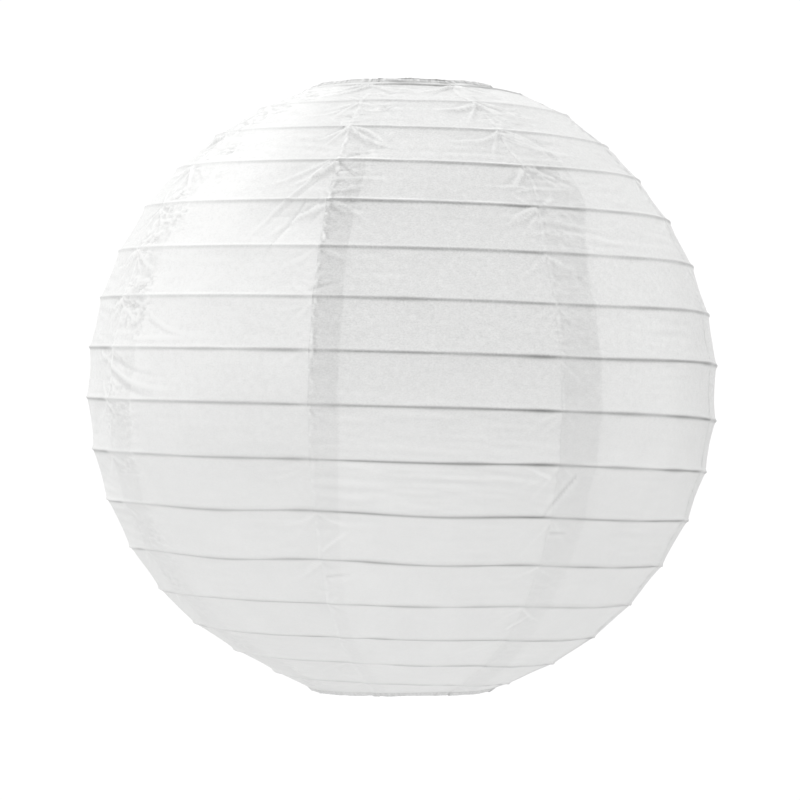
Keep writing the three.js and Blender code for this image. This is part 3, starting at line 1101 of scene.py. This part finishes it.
def wire_material():
    """Drawn steel, a little dull, with fine lines along the wire."""
    n = Nodes("drawn_steel_wire")
    place = n.add("ShaderNodeUVMap", uv_map="paper").outputs[0]
    dull = n.noise(place, 260, 3.0, 0.6)
    drawn = n.noise(n.stretch(place, (0.04, 3.0, 1.0)), 2600, 2.0, 0.5)
    level = n.maths("MULTIPLY_ADD", dull, 0.16, 0.50)
    colour = n.add("ShaderNodeCombineColor", {0: level, 1: level, 2: level}).outputs[0]
    rough = n.maths("MULTIPLY_ADD", dull, 0.22, 0.24)
    bumpy = {"Strength": 0.25, "Distance": 0.02 * MM, "Height": drawn}
    bump = n.add("ShaderNodeBump", bumpy).outputs[0]
    look = {"Base Color": colour, "Metallic": 1.0, "Roughness": rough, "Normal": bump}
    face = n.add("ShaderNodeBsdfPrincipled", look)
    n.add("ShaderNodeOutputMaterial", {"Surface": face.outputs[0]})
    return n.material


def floor_material():
    n = Nodes("pale_floor")
    look = {"Base Color": (0.92, 0.92, 0.92, 1), "Roughness": 0.9}
    face = n.add("ShaderNodeBsdfPrincipled", look)
    n.add("ShaderNodeOutputMaterial", {"Surface": face.outputs[0]})
    return n.material


# ---------------------------------------------------------------- studio


CENTRE = Vector((0, 0, CENTRE_Z))
CAMERA_AWAY = 11.8 * BALL_R
CAMERA_ELEVATION = -1.0
CAMERA_LENS = 166
CAMERA_SENSOR = 36
AIM = CENTRE + Vector((-0.0010, 0, -0.0055))
BACKGROUND = 1.05  # how bright the camera sees it
DOME = 0.84  # how bright the light from all round is
FLOOR_R = 5.0
FLOOR_Z = CENTRE_Z - 2.3
FLOOR_SIDES = 64


def add_camera():
    data = bpy.data.cameras.new("camera")
    data.lens = CAMERA_LENS
    data.sensor_width = CAMERA_SENSOR
    camera = add_object("camera", data)
    lift = math.radians(CAMERA_ELEVATION)
    offset = Vector((0, -math.cos(lift), math.sin(lift))) * CAMERA_AWAY
    camera.location = CENTRE + offset
    camera.rotation_euler = (AIM - camera.location).to_track_quat("-Z", "Y").to_euler()
    bpy.context.scene.camera = camera


def add_light(name, place, size, watts):
    """A round soft light at a place measured from the lantern's centre, turned to it."""
    data = bpy.data.lights.new(name, "AREA")
    data.shape = "DISK"
    data.size = size
    data.energy = watts
    light = add_object(name, data)
    light.location = CENTRE + Vector(place)
    light.rotation_euler = (-Vector(place)).to_track_quat("-Z", "Y").to_euler()


def add_world():
    """Soft light from all round, and a white background behind the lantern."""
    world = bpy.data.worlds.new("studio")
    world.use_nodes = True
    tree = world.node_tree
    tree.nodes.clear()
    path = tree.nodes.new("ShaderNodeLightPath")
    mix = tree.nodes.new("ShaderNodeMixShader")
    out = tree.nodes.new("ShaderNodeOutputWorld")
    tree.links.new(path.outputs["Is Camera Ray"], mix.inputs[0])
    for socket, strength in ((1, DOME), (2, BACKGROUND)):
        white = tree.nodes.new("ShaderNodeBackground")
        white.inputs[0].default_value = (1, 1, 1, 1)
        white.inputs[1].default_value = strength
        tree.links.new(white.outputs[0], mix.inputs[socket])
    tree.links.new(mix.outputs[0], out.inputs[0])
    bpy.context.scene.world = world


def add_floor():
    """A round pale floor, far below the hanging lantern."""
    mesh = bpy.data.meshes.new("floor")
    angle = np.linspace(0, 2 * np.pi, FLOOR_SIDES, endpoint=False)
    rim = [(FLOOR_R * math.cos(a), FLOOR_R * math.sin(a), FLOOR_Z) for a in angle]
    mesh.from_pydata(rim, [], [list(range(FLOOR_SIDES))])
    mesh.materials.append(floor_material())
    floor = add_object("floor", mesh)


# ---------------------------------------------------------------- build

add_camera()
add_world()
add_light("key", (-1.45, 1.05, 1.90), size=0.7, watts=20)
add_light("left", (-2.1, -1.3, 0.6), size=1.0, watts=7.5)
add_light("top", (1.20, -0.3, 2.4), size=1.0, watts=12.5)
add_light("below", (0.6, -1.6, -1.6), size=1.0, watts=2)
add_floor()
bpy.context.scene.view_settings.view_transform = "Standard"

paper = paper_material()
wire = wire_material()
for k in range(GORES):
    make_gore(k, paper)
make_hem("top_hem", TOP_RING_Z, 1, "shade", paper)
make_hem("bottom_hem", BOTTOM_RING_Z, -1, "lower_hoop", paper)
make_spiral(wire)
make_ring("top_ring_wire", TOP_RING_Z, wire, "shade", "top_ring")
make_ring("bottom_ring_wire", BOTTOM_RING_Z, wire, "lower_hoop", "bottom_ring")
make_expander(wire)
